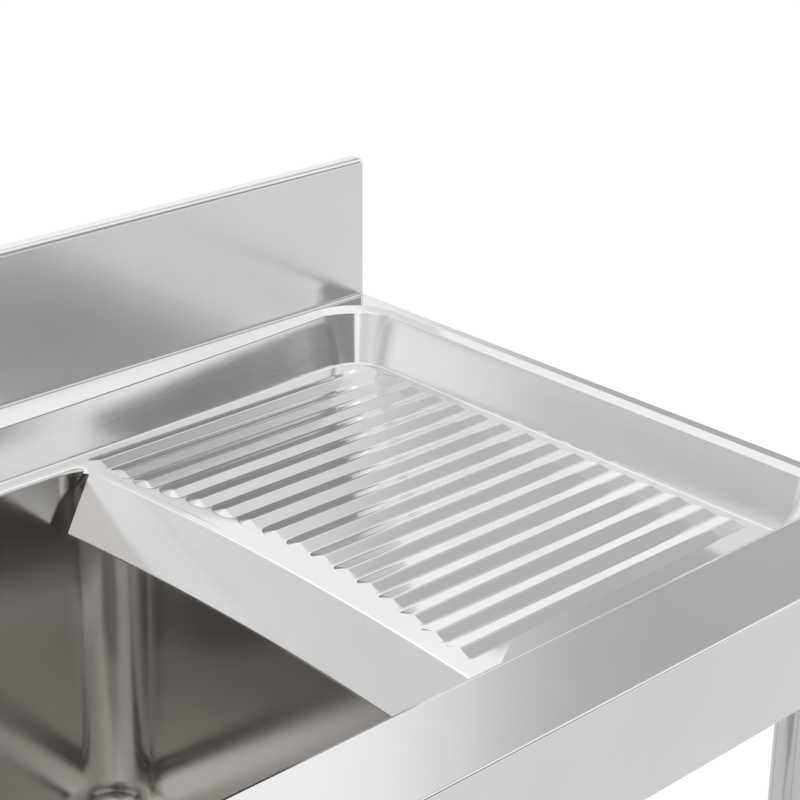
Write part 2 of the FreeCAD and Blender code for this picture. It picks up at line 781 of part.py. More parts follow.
def foot(label, x, y):
    """Bullet foot: pad, tapered body, collar with spanner flats and a stem into the insert."""
    top = "foot_height - insert_rim"
    body = new_body(label, x, y, "0")
    turned(body, label + "_form", [
        ("0", "0"), ("foot_pad_radius", "0"), ("foot_pad_radius", "foot_pad_height"),
        ("foot_collar_radius", "%s - foot_collar_height" % top), ("foot_collar_radius", top),
        ("foot_stem_radius", top), ("foot_stem_radius", "%s + insert_length + insert_rim" % top),
        ("0", "%s + insert_length + insert_rim" % top),
    ])
    reach = "foot_collar_radius + overrun"
    flat = "foot_collar_radius * 0.87"
    for side in ("", "-"):
        name = label + ("_flat_a" if side else "_flat_b")
        low = "%s%s" % (side, "(%s)" % flat)
        high = "%s%s" % (side, "(%s)" % reach)
        outline = sketch_on(body, "XY_Plane", name + "_outline",
                            points=rectangle("-(%s)" % reach, low, reach, high))
        outline.setExpression("AttachmentOffset.Base.z", cells("%s - foot_collar_height" % top))
        feature(body, "Pocket", name, outline, Length="foot_collar_height", Reversed=True)
    rounded(body, label + "_edge", "Fillet", "foot_pad_height / 4",
            lambda edge: edge.BoundBox.ZMax < number("foot_pad_height") / 10)
    return body


def grub_screws(label, z):
    """Four hexagon-key set screws, one per leg, that press on the legs from inside the table."""
    length = number("grub_length")
    key_radius = number("grub_key_radius")
    depth = number("grub_key_depth")
    screws = []
    for side in SIDES.values():
        for end in ENDS.values():
            inward = FreeCAD.Vector(-float(side), -float(end), 0)
            inward.normalize()
            across = UP.cross(inward)
            centre = FreeCAD.Vector(float(side) * number(LEG_X), float(end) * number(LEG_Y), number(z))
            start = centre + inward * number("leg_radius")
            screw = Part.makeCylinder(number("grub_radius"), length, start, inward)
            mouth = start + inward * (length - depth)
            corners = []
            for turn in range(7):
                angle = math.radians(60 * turn)
                spoke = UP * math.cos(angle) + across * math.sin(angle)
                corners.append(mouth + spoke * key_radius)
            key = Part.Face(Part.makePolygon(corners)).extrude(inward * (depth + number("overrun")))
            screws.append(screw.cut(key))
    return plain_part(label, Part.makeCompound(screws))


def undershelf():
    """Folded shelf tray: edges turned down and back under, corners cut round legs and clamps."""
    label = "undershelf"
    body = new_body(label, z="shelf_height")

    def level(name, depth, inset):
        reach_x = "(%s - (%s))" % (LEG_X, inset)
        reach_y = "(%s - (%s))" % (LEG_Y, inset)
        outline = sketch_on(body, "XY_Plane", name,
                            points=rectangle("-" + reach_x, "-" + reach_y, reach_x, reach_y))
        outline.setExpression("AttachmentOffset.Base.z", cells("-(%s)" % depth))
        return outline

    def corners(name, depth, radius):
        spots = [("%s * %s" % (side, LEG_X), "%s * %s" % (end, LEG_Y), radius)
                 for side in SIDES.values() for end in ENDS.values()]
        outline = sketch_on(body, "XY_Plane", name, circles=spots)
        outline.setExpression("AttachmentOffset.Base.z", cells("-(%s)" % depth))
        return outline

    feature(body, "Pad", "shelf_block", level("shelf_outline", "0", "0"), Length="shelf_edge", Reversed=True)
    feature(body, "Pocket", "shelf_inside", level("shelf_inner_outline", "shelf_sheet", "shelf_sheet"),
            Length="shelf_edge - 2 * shelf_sheet")
    feature(body, "Pocket", "shelf_mouth", level("shelf_mouth_outline", "shelf_edge / 2", "shelf_return"),
            Length="shelf_edge")
    feature(body, "Pocket", "shelf_leg_notches",
            corners("shelf_leg_outline", "0", "leg_radius + shelf_corner_gap"), Length="shelf_edge + overrun")
    feature(body, "Pocket", "shelf_clamp_notches",
            corners("shelf_clamp_outline", "shelf_sheet",
                    "leg_radius + clamp_clearance + clamp_wall + shelf_corner_gap"),
            Length="shelf_edge + overrun")
    return body


def shelf_clamp(label, x, y, turn):
    """Sleeve round the leg with a square plate under the corner of the shelf."""
    bore = "(leg_radius + clamp_clearance)"
    outer = "(leg_radius + clamp_clearance + clamp_wall)"
    near = "(shelf_sheet + shelf_corner_gap)"
    far = "clamp_plate_size"
    body = new_body(label, x, y, "shelf_height - shelf_sheet", turn=turn)
    plate = sketch_on(body, "XY_Plane", label + "_plate_outline", points=[
        ("-(%s * sqrt(2))" % near, "0"),
        ("-(%s + %s) / sqrt(2)" % (near, far), "(%s - %s) / sqrt(2)" % (far, near)),
        ("-(%s * sqrt(2))" % far, "0"),
        ("-(%s + %s) / sqrt(2)" % (near, far), "-(%s - %s) / sqrt(2)" % (far, near)),
    ])
    feature(body, "Pad", label + "_plate", plate, Length="clamp_plate", Reversed=True)
    sleeve = sketch_on(body, "XY_Plane", label + "_sleeve_outline", circles=[("0", "0", outer)])
    feature(body, "Pad", label + "_sleeve", sleeve, Length="clamp_height", Reversed=True)
    hole = sketch_on(body, "XY_Plane", label + "_bore_outline", circles=[("0", "0", bore)])
    feature(body, "Pocket", label + "_bore", hole, Length="clamp_height + overrun")
    screw_hole(body, label, "-(clamp_height + clamp_plate) / 2", outer)
    return body


def screw_hole(body, label, z, outer):
    """Cross hole for a grub screw, on the piece's own -X side."""
    outline = sketch_on(body, "YZ_Plane", label + "_screw_outline", circles=[("0", z, "grub_radius")])
    feature(body, "Pocket", label + "_screw_hole", outline, Length="%s + overrun" % outer)


def drain_body():
    """Waste body: wide flange in the bowl's seat, cup, sloped cup floor and outlet neck."""
    body = new_body("drain_body", DRAIN_X, DRAIN_Y, SEAT)
    cup_bore = "drain_cup_radius - drain_wall"
    turned(body, "drain_form", [
        (cup_bore, "drain_flange_height"), ("drain_land_radius", "drain_flange_height"),
        ("drain_flange_radius", "drain_flange_height / 2"), ("drain_flange_radius", "0"),
        ("drain_cup_radius", "0"), ("drain_cup_radius", "-drain_cup_depth"),
        ("drain_neck_radius", "-drain_cup_depth - drain_slope"),
        ("drain_neck_radius", "-drain_cup_depth - drain_neck_length"),
        ("drain_neck_bore", "-drain_cup_depth - drain_neck_length"),
        ("drain_neck_bore", "drain_wall - drain_cup_depth - drain_slope"),
        (cup_bore, "drain_wall - drain_cup_depth"),
    ])
    return body


def ring(label, z, inner, outer, height):
    """A plain flat ring on the drain's axis whose top lies at z."""
    body = new_body(label, DRAIN_X, DRAIN_Y, z)
    outline = sketch_on(body, "XY_Plane", label + "_outline", circles=[("0", "0", inner), ("0", "0", outer)])
    feature(body, "Pad", label + "_ring", outline, Length=height, Reversed=True)
    return body


def drain_locknut(z):
    """Ring nut under the bowl with lugs round its edge."""
    body = new_body("drain_locknut", DRAIN_X, DRAIN_Y, z)
    inner = "drain_cup_radius + ring_clearance"
    root = "(locknut_radius - locknut_lug)"
    outline = sketch_on(body, "XY_Plane", "locknut_outline", circles=[("0", "0", inner), ("0", "0", root)])
    feature(body, "Pad", "locknut_ring", outline, Length="locknut_height", Reversed=True)
    lug = sketch_on(body, "XY_Plane", "lug_outline", points=rectangle(
        "locknut_radius - 2 * locknut_lug", "-locknut_lug", "locknut_radius", "locknut_lug"))
    lug_pad = feature(body, "Pad", "locknut_lug_pad", lug, Length="locknut_height", Reversed=True)
    ring_of(body, "locknut_lugs", lug_pad, "locknut_lug_count")
    return body


def tailpiece():
    """Outlet tube with a flange for the slip nut and a shoulder that centres the nut."""
    top = "-drain_cup_depth - drain_neck_length - tail_washer_height"
    body = new_body("tailpiece", DRAIN_X, DRAIN_Y, "%s %s" % (SEAT, top))
    turned(body, "tail_form", [
        ("tail_radius - tail_wall", "0"), ("drain_neck_radius", "0"),
        ("drain_neck_radius", "-tail_flange_height"), ("tail_radius + tail_shoulder", "-tail_flange_height"),
        ("tail_radius + tail_shoulder", "-tail_flange_height - tail_shoulder_length"),
        ("tail_radius", "-tail_flange_height - tail_shoulder_length"),
        ("tail_radius", "-tail_length"), ("tail_radius - tail_wall", "-tail_length"),
    ])
    return body


def tail_nut():
    """Slip nut over the neck, ribbed outside, with an inward lip under the tail flange."""
    low = "-drain_cup_depth - drain_neck_length - tail_washer_height - tail_flange_height - tail_nut_lip"
    bore = "(drain_neck_radius + ring_clearance)"
    hole = "tail_radius + tail_shoulder + ring_clearance"
    outer = "(drain_neck_radius + ring_clearance + tail_nut_wall)"
    body = new_body("tail_nut", DRAIN_X, DRAIN_Y, "%s %s" % (SEAT, low))
    turned(body, "tail_nut_form", [
        (hole, "0"), (outer, "0"), (outer, "tail_nut_height"), (bore, "tail_nut_height"),
        (bore, "tail_nut_lip"), (hole, "tail_nut_lip"),
    ])
    grip = sketch_on(body, "XY_Plane", "grip_outline", points=rectangle(
        "%s - tail_nut_rib" % outer, "-tail_nut_rib", "%s + tail_nut_rib" % outer, "tail_nut_rib"))
    pad = feature(body, "Pad", "tail_nut_grip", grip, Length="tail_nut_height - tail_nut_rib")
    ring_of(body, "tail_nut_grips", pad, "tail_nut_rib_count")
    return body


def strainer_basket(z):
    """Lift-out strainer: rim on the waste's flange, slotted wall and holed floor."""
    label = "strainer_basket"
    body = new_body(label, DRAIN_X, DRAIN_Y, z)
    hole = "stem_radius + seal_gap"
    turned(body, "basket_form", [
        (hole, "-basket_depth"), ("basket_radius", "-basket_depth"), ("basket_radius", "0"),
        ("basket_rim_radius", "0"), ("basket_rim_radius", "basket_rim / 2"),
        ("basket_rim_radius - basket_rim", "basket_rim"), ("basket_radius - basket_wall", "basket_rim"),
        ("basket_radius - basket_wall", "basket_wall - basket_depth"), (hole, "basket_wall - basket_depth"),
    ])
    slot = sketch_on(body, "YZ_Plane", "slot_outline", points=rectangle(
        "-basket_slot_width / 2", "basket_slot_bottom_gap - basket_depth",
        "basket_slot_width / 2", "-basket_slot_top_gap"))
    cut = feature(body, "Pocket", "basket_slot", slot, Length="basket_radius + overrun", Reversed=True)
    ring_of(body, "basket_slots", cut, "basket_slot_count")
    holes = sketch_on(body, "XY_Plane", "hole_outline",
                      circles=[("basket_hole_ring", "0", "basket_hole_radius")])
    cut = feature(body, "Pocket", "basket_hole", holes, Length="basket_depth + overrun")
    ring_of(body, "basket_holes", cut, "basket_hole_count")
    return body


def basket_stem(z):
    """Middle post of the strainer with its knob, its collar and the head that holds the seal."""
    body = new_body("basket_stem", DRAIN_X, DRAIN_Y, z)
    low = "-basket_depth - seal_height"
    floor = "basket_wall - basket_depth"
    turned(body, "stem_form", [
        ("0", "%s - stem_collar" % low), ("2 * stem_radius", "%s - stem_collar" % low),
        ("2 * stem_radius", low), ("stem_radius", low), ("stem_radius", floor),
        ("2 * stem_radius", floor), ("2 * stem_radius", "%s + stem_collar" % floor),
        ("stem_radius", "%s + stem_collar" % floor), ("stem_radius", "stem_rise"),
        ("stem_knob_radius", "stem_rise"), ("stem_knob_radius", "stem_rise + stem_knob_height"),
        ("0", "stem_rise + stem_knob_height"),
    ])
    top = number("stem_rise + stem_knob_height / 2")
    rounded(body, "stem_knob_edge", "Fillet", "stem_knob_height / 4",
            lambda edge: edge.BoundBox.ZMin > top and edge.BoundBox.ZLength < number("stem_knob_height") / 100)
    return body


plain_part("top_deck", top_deck())
plain_part("upstand", upstand())
plain_part("bowl", bowl())

across_y = "table_depth - 2 * deck_sheet - 2 * channel_end_gap"
across_x = "table_length - 2 * deck_sheet - 2 * channel_end_gap"
channel("channel_left", "y", across_y, "-" + LEG_X, "0", DECK_UNDER)
channel("channel_right", "y", across_y, LEG_X, "0", DECK_UNDER)
channel("channel_front", "x", across_x, "0", "(rim_front - table_depth) / 2", "table_height - deck_sheet")

# Each corner's pieces turn so that their own -X side looks at the middle of the table.
turns = {("right", "back"): "45", ("left", "back"): "135", ("left", "front"): "225", ("right", "front"): "315"}
for (side, end), turn in turns.items():
    place = "%s_%s" % (end, side)
    leg_x = "%s * %s" % (SIDES[side], LEG_X)
    leg_y = "%s * %s" % (ENDS[end], LEG_Y)
    leg_socket("leg_socket_" + place, leg_x, leg_y, turn)
    leg_tube("leg_" + place, leg_x, leg_y)
    foot_insert("foot_insert_" + place, leg_x, leg_y)
    foot("foot_" + place, leg_x, leg_y)
    shelf_clamp("shelf_clamp_" + place, leg_x, leg_y, turn)
grub_screws("socket_screws", "%s - socket_depth / 2" % SOCKET_TOP)
grub_screws("clamp_screws", "shelf_height - shelf_sheet - (clamp_height + clamp_plate) / 2")

undershelf()
channel("shelf_channel", "x", "2 * %s - 2 * shelf_sheet - 2 * channel_end_gap" % LEG_X, "0", "0",
        "shelf_height - shelf_sheet")

drain_body()
cup_bore = "drain_cup_radius + ring_clearance"
ring("drain_gasket", "%s - bowl_sheet" % SEAT, cup_bore, "gasket_radius", "gasket_height")
ring("drain_washer", "%s - bowl_sheet - gasket_height" % SEAT, cup_bore, "gasket_radius", "washer_height")
drain_locknut("%s - bowl_sheet - gasket_height - washer_height" % SEAT)
ring("tail_washer", "%s - drain_cup_depth - drain_neck_length" % SEAT, "tail_radius - tail_wall",
     "drain_neck_radius", "tail_washer_height")
tailpiece()
tail_nut()

basket_z = "%s + drain_flange_height" % SEAT
strainer_basket(basket_z)
basket_stem(basket_z)
ring("basket_seal", "%s - basket_depth" % basket_z, "stem_radius + seal_gap", "seal_radius", "seal_height")

doc.recompute()
os.makedirs("parts", exist_ok=True)
for item in parts:
    for object_of in [item] + list(getattr(item, "Group", [])):
        if "Invalid" in object_of.State or "Error" in object_of.State:
            raise ValueError("not built: " + object_of.Name)
    if item.Shape.isNull() or not item.Shape.isValid():
        raise ValueError("bad shape: " + item.Label)
for item in parts:
    item.Shape.exportStep(os.path.join("parts", item.Label + ".step"))
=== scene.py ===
import math

import bpy
import numpy as np
from mathutils import Matrix, Vector
from mathutils.geometry import delaunay_2d_cdt


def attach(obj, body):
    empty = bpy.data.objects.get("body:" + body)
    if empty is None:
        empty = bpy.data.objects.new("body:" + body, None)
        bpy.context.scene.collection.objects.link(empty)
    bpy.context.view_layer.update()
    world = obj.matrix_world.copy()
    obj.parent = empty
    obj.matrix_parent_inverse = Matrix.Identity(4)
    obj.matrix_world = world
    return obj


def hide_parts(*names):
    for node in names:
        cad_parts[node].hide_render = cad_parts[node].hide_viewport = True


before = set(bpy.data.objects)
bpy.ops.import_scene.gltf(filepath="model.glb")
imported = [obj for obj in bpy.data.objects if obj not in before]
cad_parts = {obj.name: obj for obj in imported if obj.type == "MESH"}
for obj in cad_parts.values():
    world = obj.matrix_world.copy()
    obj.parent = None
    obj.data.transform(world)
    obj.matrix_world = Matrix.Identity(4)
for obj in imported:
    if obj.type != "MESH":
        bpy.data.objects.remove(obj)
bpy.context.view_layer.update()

MM = 0.001

# Sizes in millimetres. BOWL is the opening's left, front, right and back.
LENGTH, DEPTH, RIM = 800.0, 500.0, 850.0
HALF_X, HALF_Y = LENGTH / 2, DEPTH / 2
SHEET = 1.2
SKIRT, SKIRT_RETURN, DECK_CORNER, DECK_EDGE = 70.0, 10.0, 3.0, 1.8
FOLD, HEM_GAP = 2.0, 0.1
SPLASH_Y, SPLASH_HEIGHT, SPLASH_CORNER, SPLASH_RETURN = 238.0, 100.0, 4.0, 15.0
BEAD, BEAD_INSET, BEAD_SHEET = 2.6, 4.0, 0.3
RECESS_X, RECESS_FRONT, RECESS_BACK, RECESS_CORNER = 391.5, -192.0, 235.2, 40.0
BEVEL, SLOPE, BOW = 4.4, math.radians(30), 6.5
FLOOR, FLOOR_FILLET, DRAFT = 811.5, 1.5, math.radians(15)
RIM_CREASE, WALL_CREASE = 2.0, 2.2
RIBS, RIB_PITCH, RIB_FIRST, RIB_VALLEY = 16, 21.34, 197.9, 0.3
RIB_SLOPE, RIB_BEND = math.radians(12.6), 7.0
RIB_LEFT, RIB_RIGHT, RIB_END_BOW, RIB_LIP_GAP, RIB_END_SHARE = 159.1, 375.0, 530.0, 1.5, 0.6
LIP_X, LIP_BOW, LIP_ROLL, LIP_TILT = 135.0, 1830.0, 5.0, math.radians(30)
LIP_HEIGHT, LIP_HEM, LIP_CORNER = 38.2, 10.0, 10.0
LIP_DIP, LIP_DIP_REACH, LIP_DIP_WEIGHT = math.radians(24), 24.0, 3
BOWL = (-319.0, -157.0, 150.3, 203.0)
BOWL_CORNER, BOWL_DEPTH, BOWL_DRAFT, BOWL_FILLET = 40.0, 255.5, math.radians(2), 30.0
BOWL_FLANGE, BOWL_BEND = 10.0, 1.5
SEAT_RADIUS, SEAT_DEPTH, SEAT_HOLE, SEAT_SLOPE = 58.0, 2.5, 44.0, math.radians(75)
UP = np.array([0.0, 0.0, 1.0])
MERGE_STEPS = 500

# The camera, fitted to the photo: lens for the sensor and place in millimetres, then yaw, pitch
# and roll in degrees.
SENSOR, LENS = 36.0, 93.94
CAMERA_PLACE = (-537.40, -800.265, 1365.912)
CAMERA_TURN = (43.1221, 23.1678, -0.39274)


def unit(vectors):
    return vectors / np.maximum(np.linalg.norm(vectors, axis=-1, keepdims=True), 1e-12)


def toward(angle):
    return np.array([math.cos(angle), math.sin(angle)])


class Skin:
    """Collects surface patches with exact normals and joins them into one sheet."""

    def __init__(self):
        self.points, self.normals, self.faces = [], [], []
        self.count = 0

    def add(self, points, normals, faces):
        self.points.append(np.asarray(points, float).reshape(-1, 3))
        self.normals.append(np.asarray(normals, float).reshape(-1, 3))
        self.faces.extend([tuple(int(i) + self.count for i in face) for face in faces])
        self.count += len(self.points[-1])

    def grid(self, loops, directions, closed=False, flip=False):
        """A patch through matching loops of points, with the surface's direction at each point."""
        count, width = len(loops[0]), len(loops)
        faces = []
        for i in range(count if closed else count - 1):
            k = (i + 1) % count
            for j in range(width - 1):
                face = (i * width + j, k * width + j, k * width + j + 1, i * width + j + 1)
                faces.append(face[::-1] if flip else face)
        self.add(np.stack(loops, 1), unit(np.stack(directions, 1)), faces)

    def flat(self, outer, holes, normal, place):
        """Triangles of a flat region between an outer loop and its holes. place lifts 2D to 3D."""
        loops = [np.asarray(outer)] + [np.asarray(hole) for hole in holes]
        flat_points, edges = [], []
        for loop in loops:
            keep = [p for k, p in enumerate(loop) if np.linalg.norm(p - loop[k - 1]) > 1e-6]
            start = len(flat_points)
            flat_points.extend(keep)
            edges.extend((start + k, start + (k + 1) % len(keep)) for k in range(len(keep)))
        made = delaunay_2d_cdt([Vector(p) for p in flat_points], edges, [], 0, 1e-7)
        places = [flat_points[source[0]] if source else np.array(p) for p, source in zip(made[0], made[3])]
        points = np.array(places)
        faces = []
        for triangle in made[2]:
            middle = points[list(triangle)].mean(0)
            if inside(middle, loops[0]) and not any(inside(middle, hole) for hole in loops[1:]):
                faces.append(tuple(triangle))
        lifted = place(points)
        if faces:
            a, b, c = (lifted[i] for i in faces[0])
            if np.dot(np.cross(b - a, c - a), normal) < 0:
                faces = [face[::-1] for face in faces]
        self.add(lifted, np.tile(normal, (len(lifted), 1)), faces)

    def joined(self):
        """All patches as one surface. Points in the same step of a millimetre become one."""
        points = np.vstack(self.points)
        normals = np.vstack(self.normals)
        keys = np.round(points * MERGE_STEPS).astype(np.int64)
        _, first, back = np.unique(keys, axis=0, return_index=True, return_inverse=True)
        back = np.asarray(back).reshape(-1)
        merged = np.zeros((len(first), 3))
        np.add.at(merged, back, normals)
        faces = []
        for face in self.faces:
            ring = []
            for i in face:
                k = int(back[i])
                if k not in ring:
                    ring.append(k)
            if len(ring) > 2:
                faces.append(tuple(ring))
        return points[first], unit(merged), faces

    def sheet(self, thickness):
        """The joined surface with a parallel one underneath and its open edges closed.

        The last value is the number of faces on each of the two sides.
        """
        points, normals, faces = self.joined()
        edges = dict.fromkeys(edge for face in faces for edge in zip(face, face[1:] + face[:1]))
        count = len(points)
        under = points - normals * thickness
        all_faces = faces + [tuple(i + count for i in face[::-1]) for face in faces]
        for a, b in edges:
            if (b, a) not in edges:
                all_faces.append((b, a, a + count, b + count))
        return np.vstack([points, under]), np.vstack([normals, -normals]), all_faces, len(faces)


def inside(point, loop):
    x, y = point
    x0, y0 = loop[:, 0], loop[:, 1]
    x1, y1 = np.roll(x0, -1), np.roll(y0, -1)
    crosses = (y0 > y) != (y1 > y)
    with np.errstate(divide="ignore", invalid="ignore"):
        at = x0 + (y - y0) * (x1 - x0) / (y1 - y0)
    return bool(np.count_nonzero(crosses & (x < at)) % 2)


def sheet_object(name, skin, thickness):
    """A mesh object. Corner normals come from the points, except on the cut edges."""
    points, normals, faces, side_faces = skin.sheet(thickness)
    mesh = bpy.data.meshes.new(name)
    mesh.from_pydata((points * MM).tolist(), [], [list(face) for face in faces])
    mesh.validate()
    mesh.update()
    mesh.polygons.foreach_set("use_smooth", [True] * len(mesh.polygons))
    split = []
    for polygon in mesh.polygons:
        cut = polygon.index >= 2 * side_faces
        for vertex in polygon.vertices:
            split.append(tuple(polygon.normal) if cut else tuple(normals[vertex]))
    mesh.normals_split_custom_set(split)
    item = bpy.data.objects.new(name, mesh)
    bpy.context.scene.collection.objects.link(item)
    return item


def arc_points(start, end, steps):
    return np.linspace(start, end, steps + 1)


def rounded_rect(x0, y0, x1, y1, radius, steps):
    """Counterclockwise loop from the right side's lower end, with outward normals."""
    points, normals = [], []
    corners = [(x1 - radius, y1 - radius, 0), (x0 + radius, y1 - radius, 90),
               (x0 + radius, y0 + radius, 180), (x1 - radius, y0 + radius, 270)]
    for cx, cy, turn in corners:
        for angle in np.radians(arc_points(turn, turn + 90, steps)):
            points.append(np.array([cx, cy]) + radius * toward(angle))
            normals.append(toward(angle))
    return np.array(points), np.array(normals)


def with_y(points, y):
    return np.column_stack([points[:, 0], np.full(len(points), y), points[:, 1]])


def with_z(points, z):
    return np.column_stack([points, np.full(len(points), z)])


def profile_grid(skin, outline, steps, flip=False):
    """outline(inset) gives a loop and its outward normals; steps are (inset, z, out, up)."""
    loops, directions = [], []
    for inset, z, out, up in steps:
        loop, outward = outline(inset)
        loops.append(with_z(loop, z))
        directions.append(with_z(outward * out, up))
    skin.grid(loops, directions, closed=True, flip=flip)


# Top deck: rim, skirt, bevelled recess, ribbed drainer, opening and drip lip.

def recess_loops():
    """Matching points on the wall and on the bevel's outer edge, each with its way out."""
    half = RECESS_X - BEVEL
    front = RECESS_FRONT + BEVEL
    back = RECESS_BACK - BEVEL
    radius = RECESS_CORNER - BEVEL
    bow_radius = (half * half + BOW * BOW) / (2 * BOW)
    bow_centre = np.array([0.0, back - BOW + bow_radius])
    reach = half - radius
    corner_y = bow_centre[1] - math.sqrt((bow_radius + radius) ** 2 - reach ** 2)
    tilt = math.asin(reach / (bow_radius + radius))
    wall, wall_out, rim, rim_out = [], [], [], []

    def put(wall_point, wall_direction, rim_point, rim_direction):
        wall.append(wall_point)
        wall_out.append(wall_direction)
        rim.append(rim_point)
        rim_out.append(rim_direction)

    steps = 20
    outer_y = RECESS_BACK - RECESS_CORNER
    outer_x = RECESS_X - RECESS_CORNER
    low_y = RECESS_FRONT + RECESS_CORNER
    for side in (1, -1):
        order = range(steps + 1) if side == 1 else range(steps, -1, -1)
        for k in order:
            share = k / steps
            angle = share * (math.pi / 2 - tilt)
            whole = share * math.pi / 2
            direction = np.array([side * math.cos(angle), math.sin(angle)])
            outer = np.array([side * math.cos(whole), math.sin(whole)])
            put(np.array([side * reach, corner_y]) + radius * direction, direction,
                np.array([side * outer_x, outer_y]) + RECESS_CORNER * outer, outer)
        if side == 1:
            share = bow_radius / (bow_radius + radius)
            edge = bow_centre + (np.array([reach, corner_y]) - bow_centre) * share
            for x in np.linspace(edge[0], -edge[0], 41)[1:-1]:
                y = bow_centre[1] - math.sqrt(bow_radius ** 2 - x * x)
                outward = unit(bow_centre - np.array([x, y]))
                put(np.array([x, y]), outward, np.array([x, RECESS_BACK]), np.array([0.0, 1.0]))
    for side, turn in ((-1, 180), (1, 270)):
        for angle in np.radians(arc_points(turn, turn + 90, steps)):
            direction = toward(angle)
            put(np.array([side * reach, front + radius]) + radius * direction, direction,
                np.array([side * outer_x, low_y]) + RECESS_CORNER * direction, direction)
    return tuple(np.array(item) for item in (wall, wall_out, rim, rim_out))


def bevel_distance(points):
    """Horizontal distance inwards from the bevel's outer edge."""
    middle_y = (RECESS_BACK + RECESS_FRONT) / 2
    half = np.array([RECESS_X, (RECESS_BACK - RECESS_FRONT) / 2]) - RECESS_CORNER
    q = np.abs(points - np.array([0, middle_y])) - half
    outside = np.linalg.norm(np.maximum(q, 0), axis=1) + np.minimum(np.max(q, axis=1), 0)
    return RECESS_CORNER - outside


def opening_loop():
    """The edge where the floor starts to roll down into the bowl, with outward normals.

    Returns the loop from the lip's back end round to its front end, away from the lip, and how
    far it stands outside the opening, which is nothing at the lip and the roll's radius elsewhere.
    The last two values are the centre of the lip's arc and the directions from it along the lip.
    """
    centre = np.array([LIP_X - LIP_BOW, (BOWL[1] + BOWL[3]) / 2])
    edge = LIP_BOW + LIP_ROLL
    corners = []
    for y in (BOWL[1] + LIP_CORNER, BOWL[3] - LIP_CORNER):
        x = centre[0] + math.sqrt((edge - LIP_CORNER) ** 2 - (y - centre[1]) ** 2)
        corners.append(np.array([x, y]))
    lean = math.atan2(corners[1][1] - centre[1], corners[1][0] - centre[0])
    points, normals, grown = [], [], []

    def put(corner, radius, angle, grow):
        points.append(corner + radius * toward(angle) + toward(angle) * grow)
        normals.append(toward(angle))
        grown.append(grow)

    def lip_corner(corner, side, shares):
        for share in shares:
            angle = side * (lean + share * (math.pi / 2 - lean))
            put(corner, LIP_CORNER, angle, LIP_ROLL * share * share * (3 - 2 * share))

    shares = [k / 10 for k in range(11)]
    lip_corner(corners[1], 1, shares)
    for y, turn in ((BOWL[3] - BOWL_CORNER, 90), (BOWL[1] + BOWL_CORNER, 180)):
        for angle in np.radians(arc_points(turn, turn + 90, 12)):
            put(np.array([BOWL[0] + BOWL_CORNER, y]), BOWL_CORNER, angle, LIP_ROLL)
    lip_corner(corners[0], -1, shares[::-1])
    lip_angles = np.linspace(-lean, lean, 49)
    lip_directions = np.column_stack([np.cos(lip_angles), np.sin(lip_angles)])
    return np.array(points), np.array(normals), np.array(grown), centre, lip_directions


def rib_profile():
    """Distance from the spine, height and slope angle from the rib's foot to its crest."""
    half = (RIB_PITCH - RIB_VALLEY) / 2
    bend = RIB_BEND * math.sin(RIB_SLOPE)
    crest = (half - 2 * bend) * math.tan(RIB_SLOPE) + 2 * RIB_BEND * (1 - math.cos(RIB_SLOPE))
    steps = []
    for angle in arc_points(0, RIB_SLOPE, 6):
        steps.append((half - RIB_BEND * math.sin(angle), RIB_BEND * (1 - math.cos(angle)), angle))
    for angle in arc_points(RIB_SLOPE, 0, 6):
        steps.append((RIB_BEND * math.sin(angle), crest - RIB_BEND * (1 - math.cos(angle)), angle))
    return steps


def stadium(y):
    """Spine points round one rib, the way out from each and how far the end is drawn in there.

    Both ends are blunt: their slopes are shorter than the rib's sides.
    """
    half = (RIB_PITCH - RIB_VALLEY) / 2
    middle = (BOWL[1] + BOWL[3]) / 2
    edge = LIP_BOW + LIP_ROLL
    on_arc = RIB_LEFT - RIB_END_BOW + math.sqrt(RIB_END_BOW ** 2 - (y - middle) ** 2)
    at_lip = LIP_X - LIP_BOW + math.sqrt(edge ** 2 - (y - middle) ** 2)
    left = max(on_arc, at_lip + RIB_LIP_GAP + half * RIB_END_SHARE)
    right = RIB_RIGHT - half * RIB_END_SHARE
    spine, outward, squeeze = [], [], []

    def put(x, dx, dy, share):
        spine.append((x, y))
        outward.append((dx, dy))
        squeeze.append(share)

    for angle in np.radians(arc_points(-90, 90, 16)):
        put(right, math.cos(angle), math.sin(angle), RIB_END_SHARE)
    for x in np.linspace(right, left, 25)[1:-1]:
        put(x, 0.0, 1.0, 1.0)
    for angle in np.radians(arc_points(90, 270, 16)):
        put(left, math.cos(angle), math.sin(angle), RIB_END_SHARE)
    for x in np.linspace(left, right, 25)[1:-1]:
        put(x, 0.0, -1.0, 1.0)
    return np.array(spine), np.array(outward), np.array(squeeze)


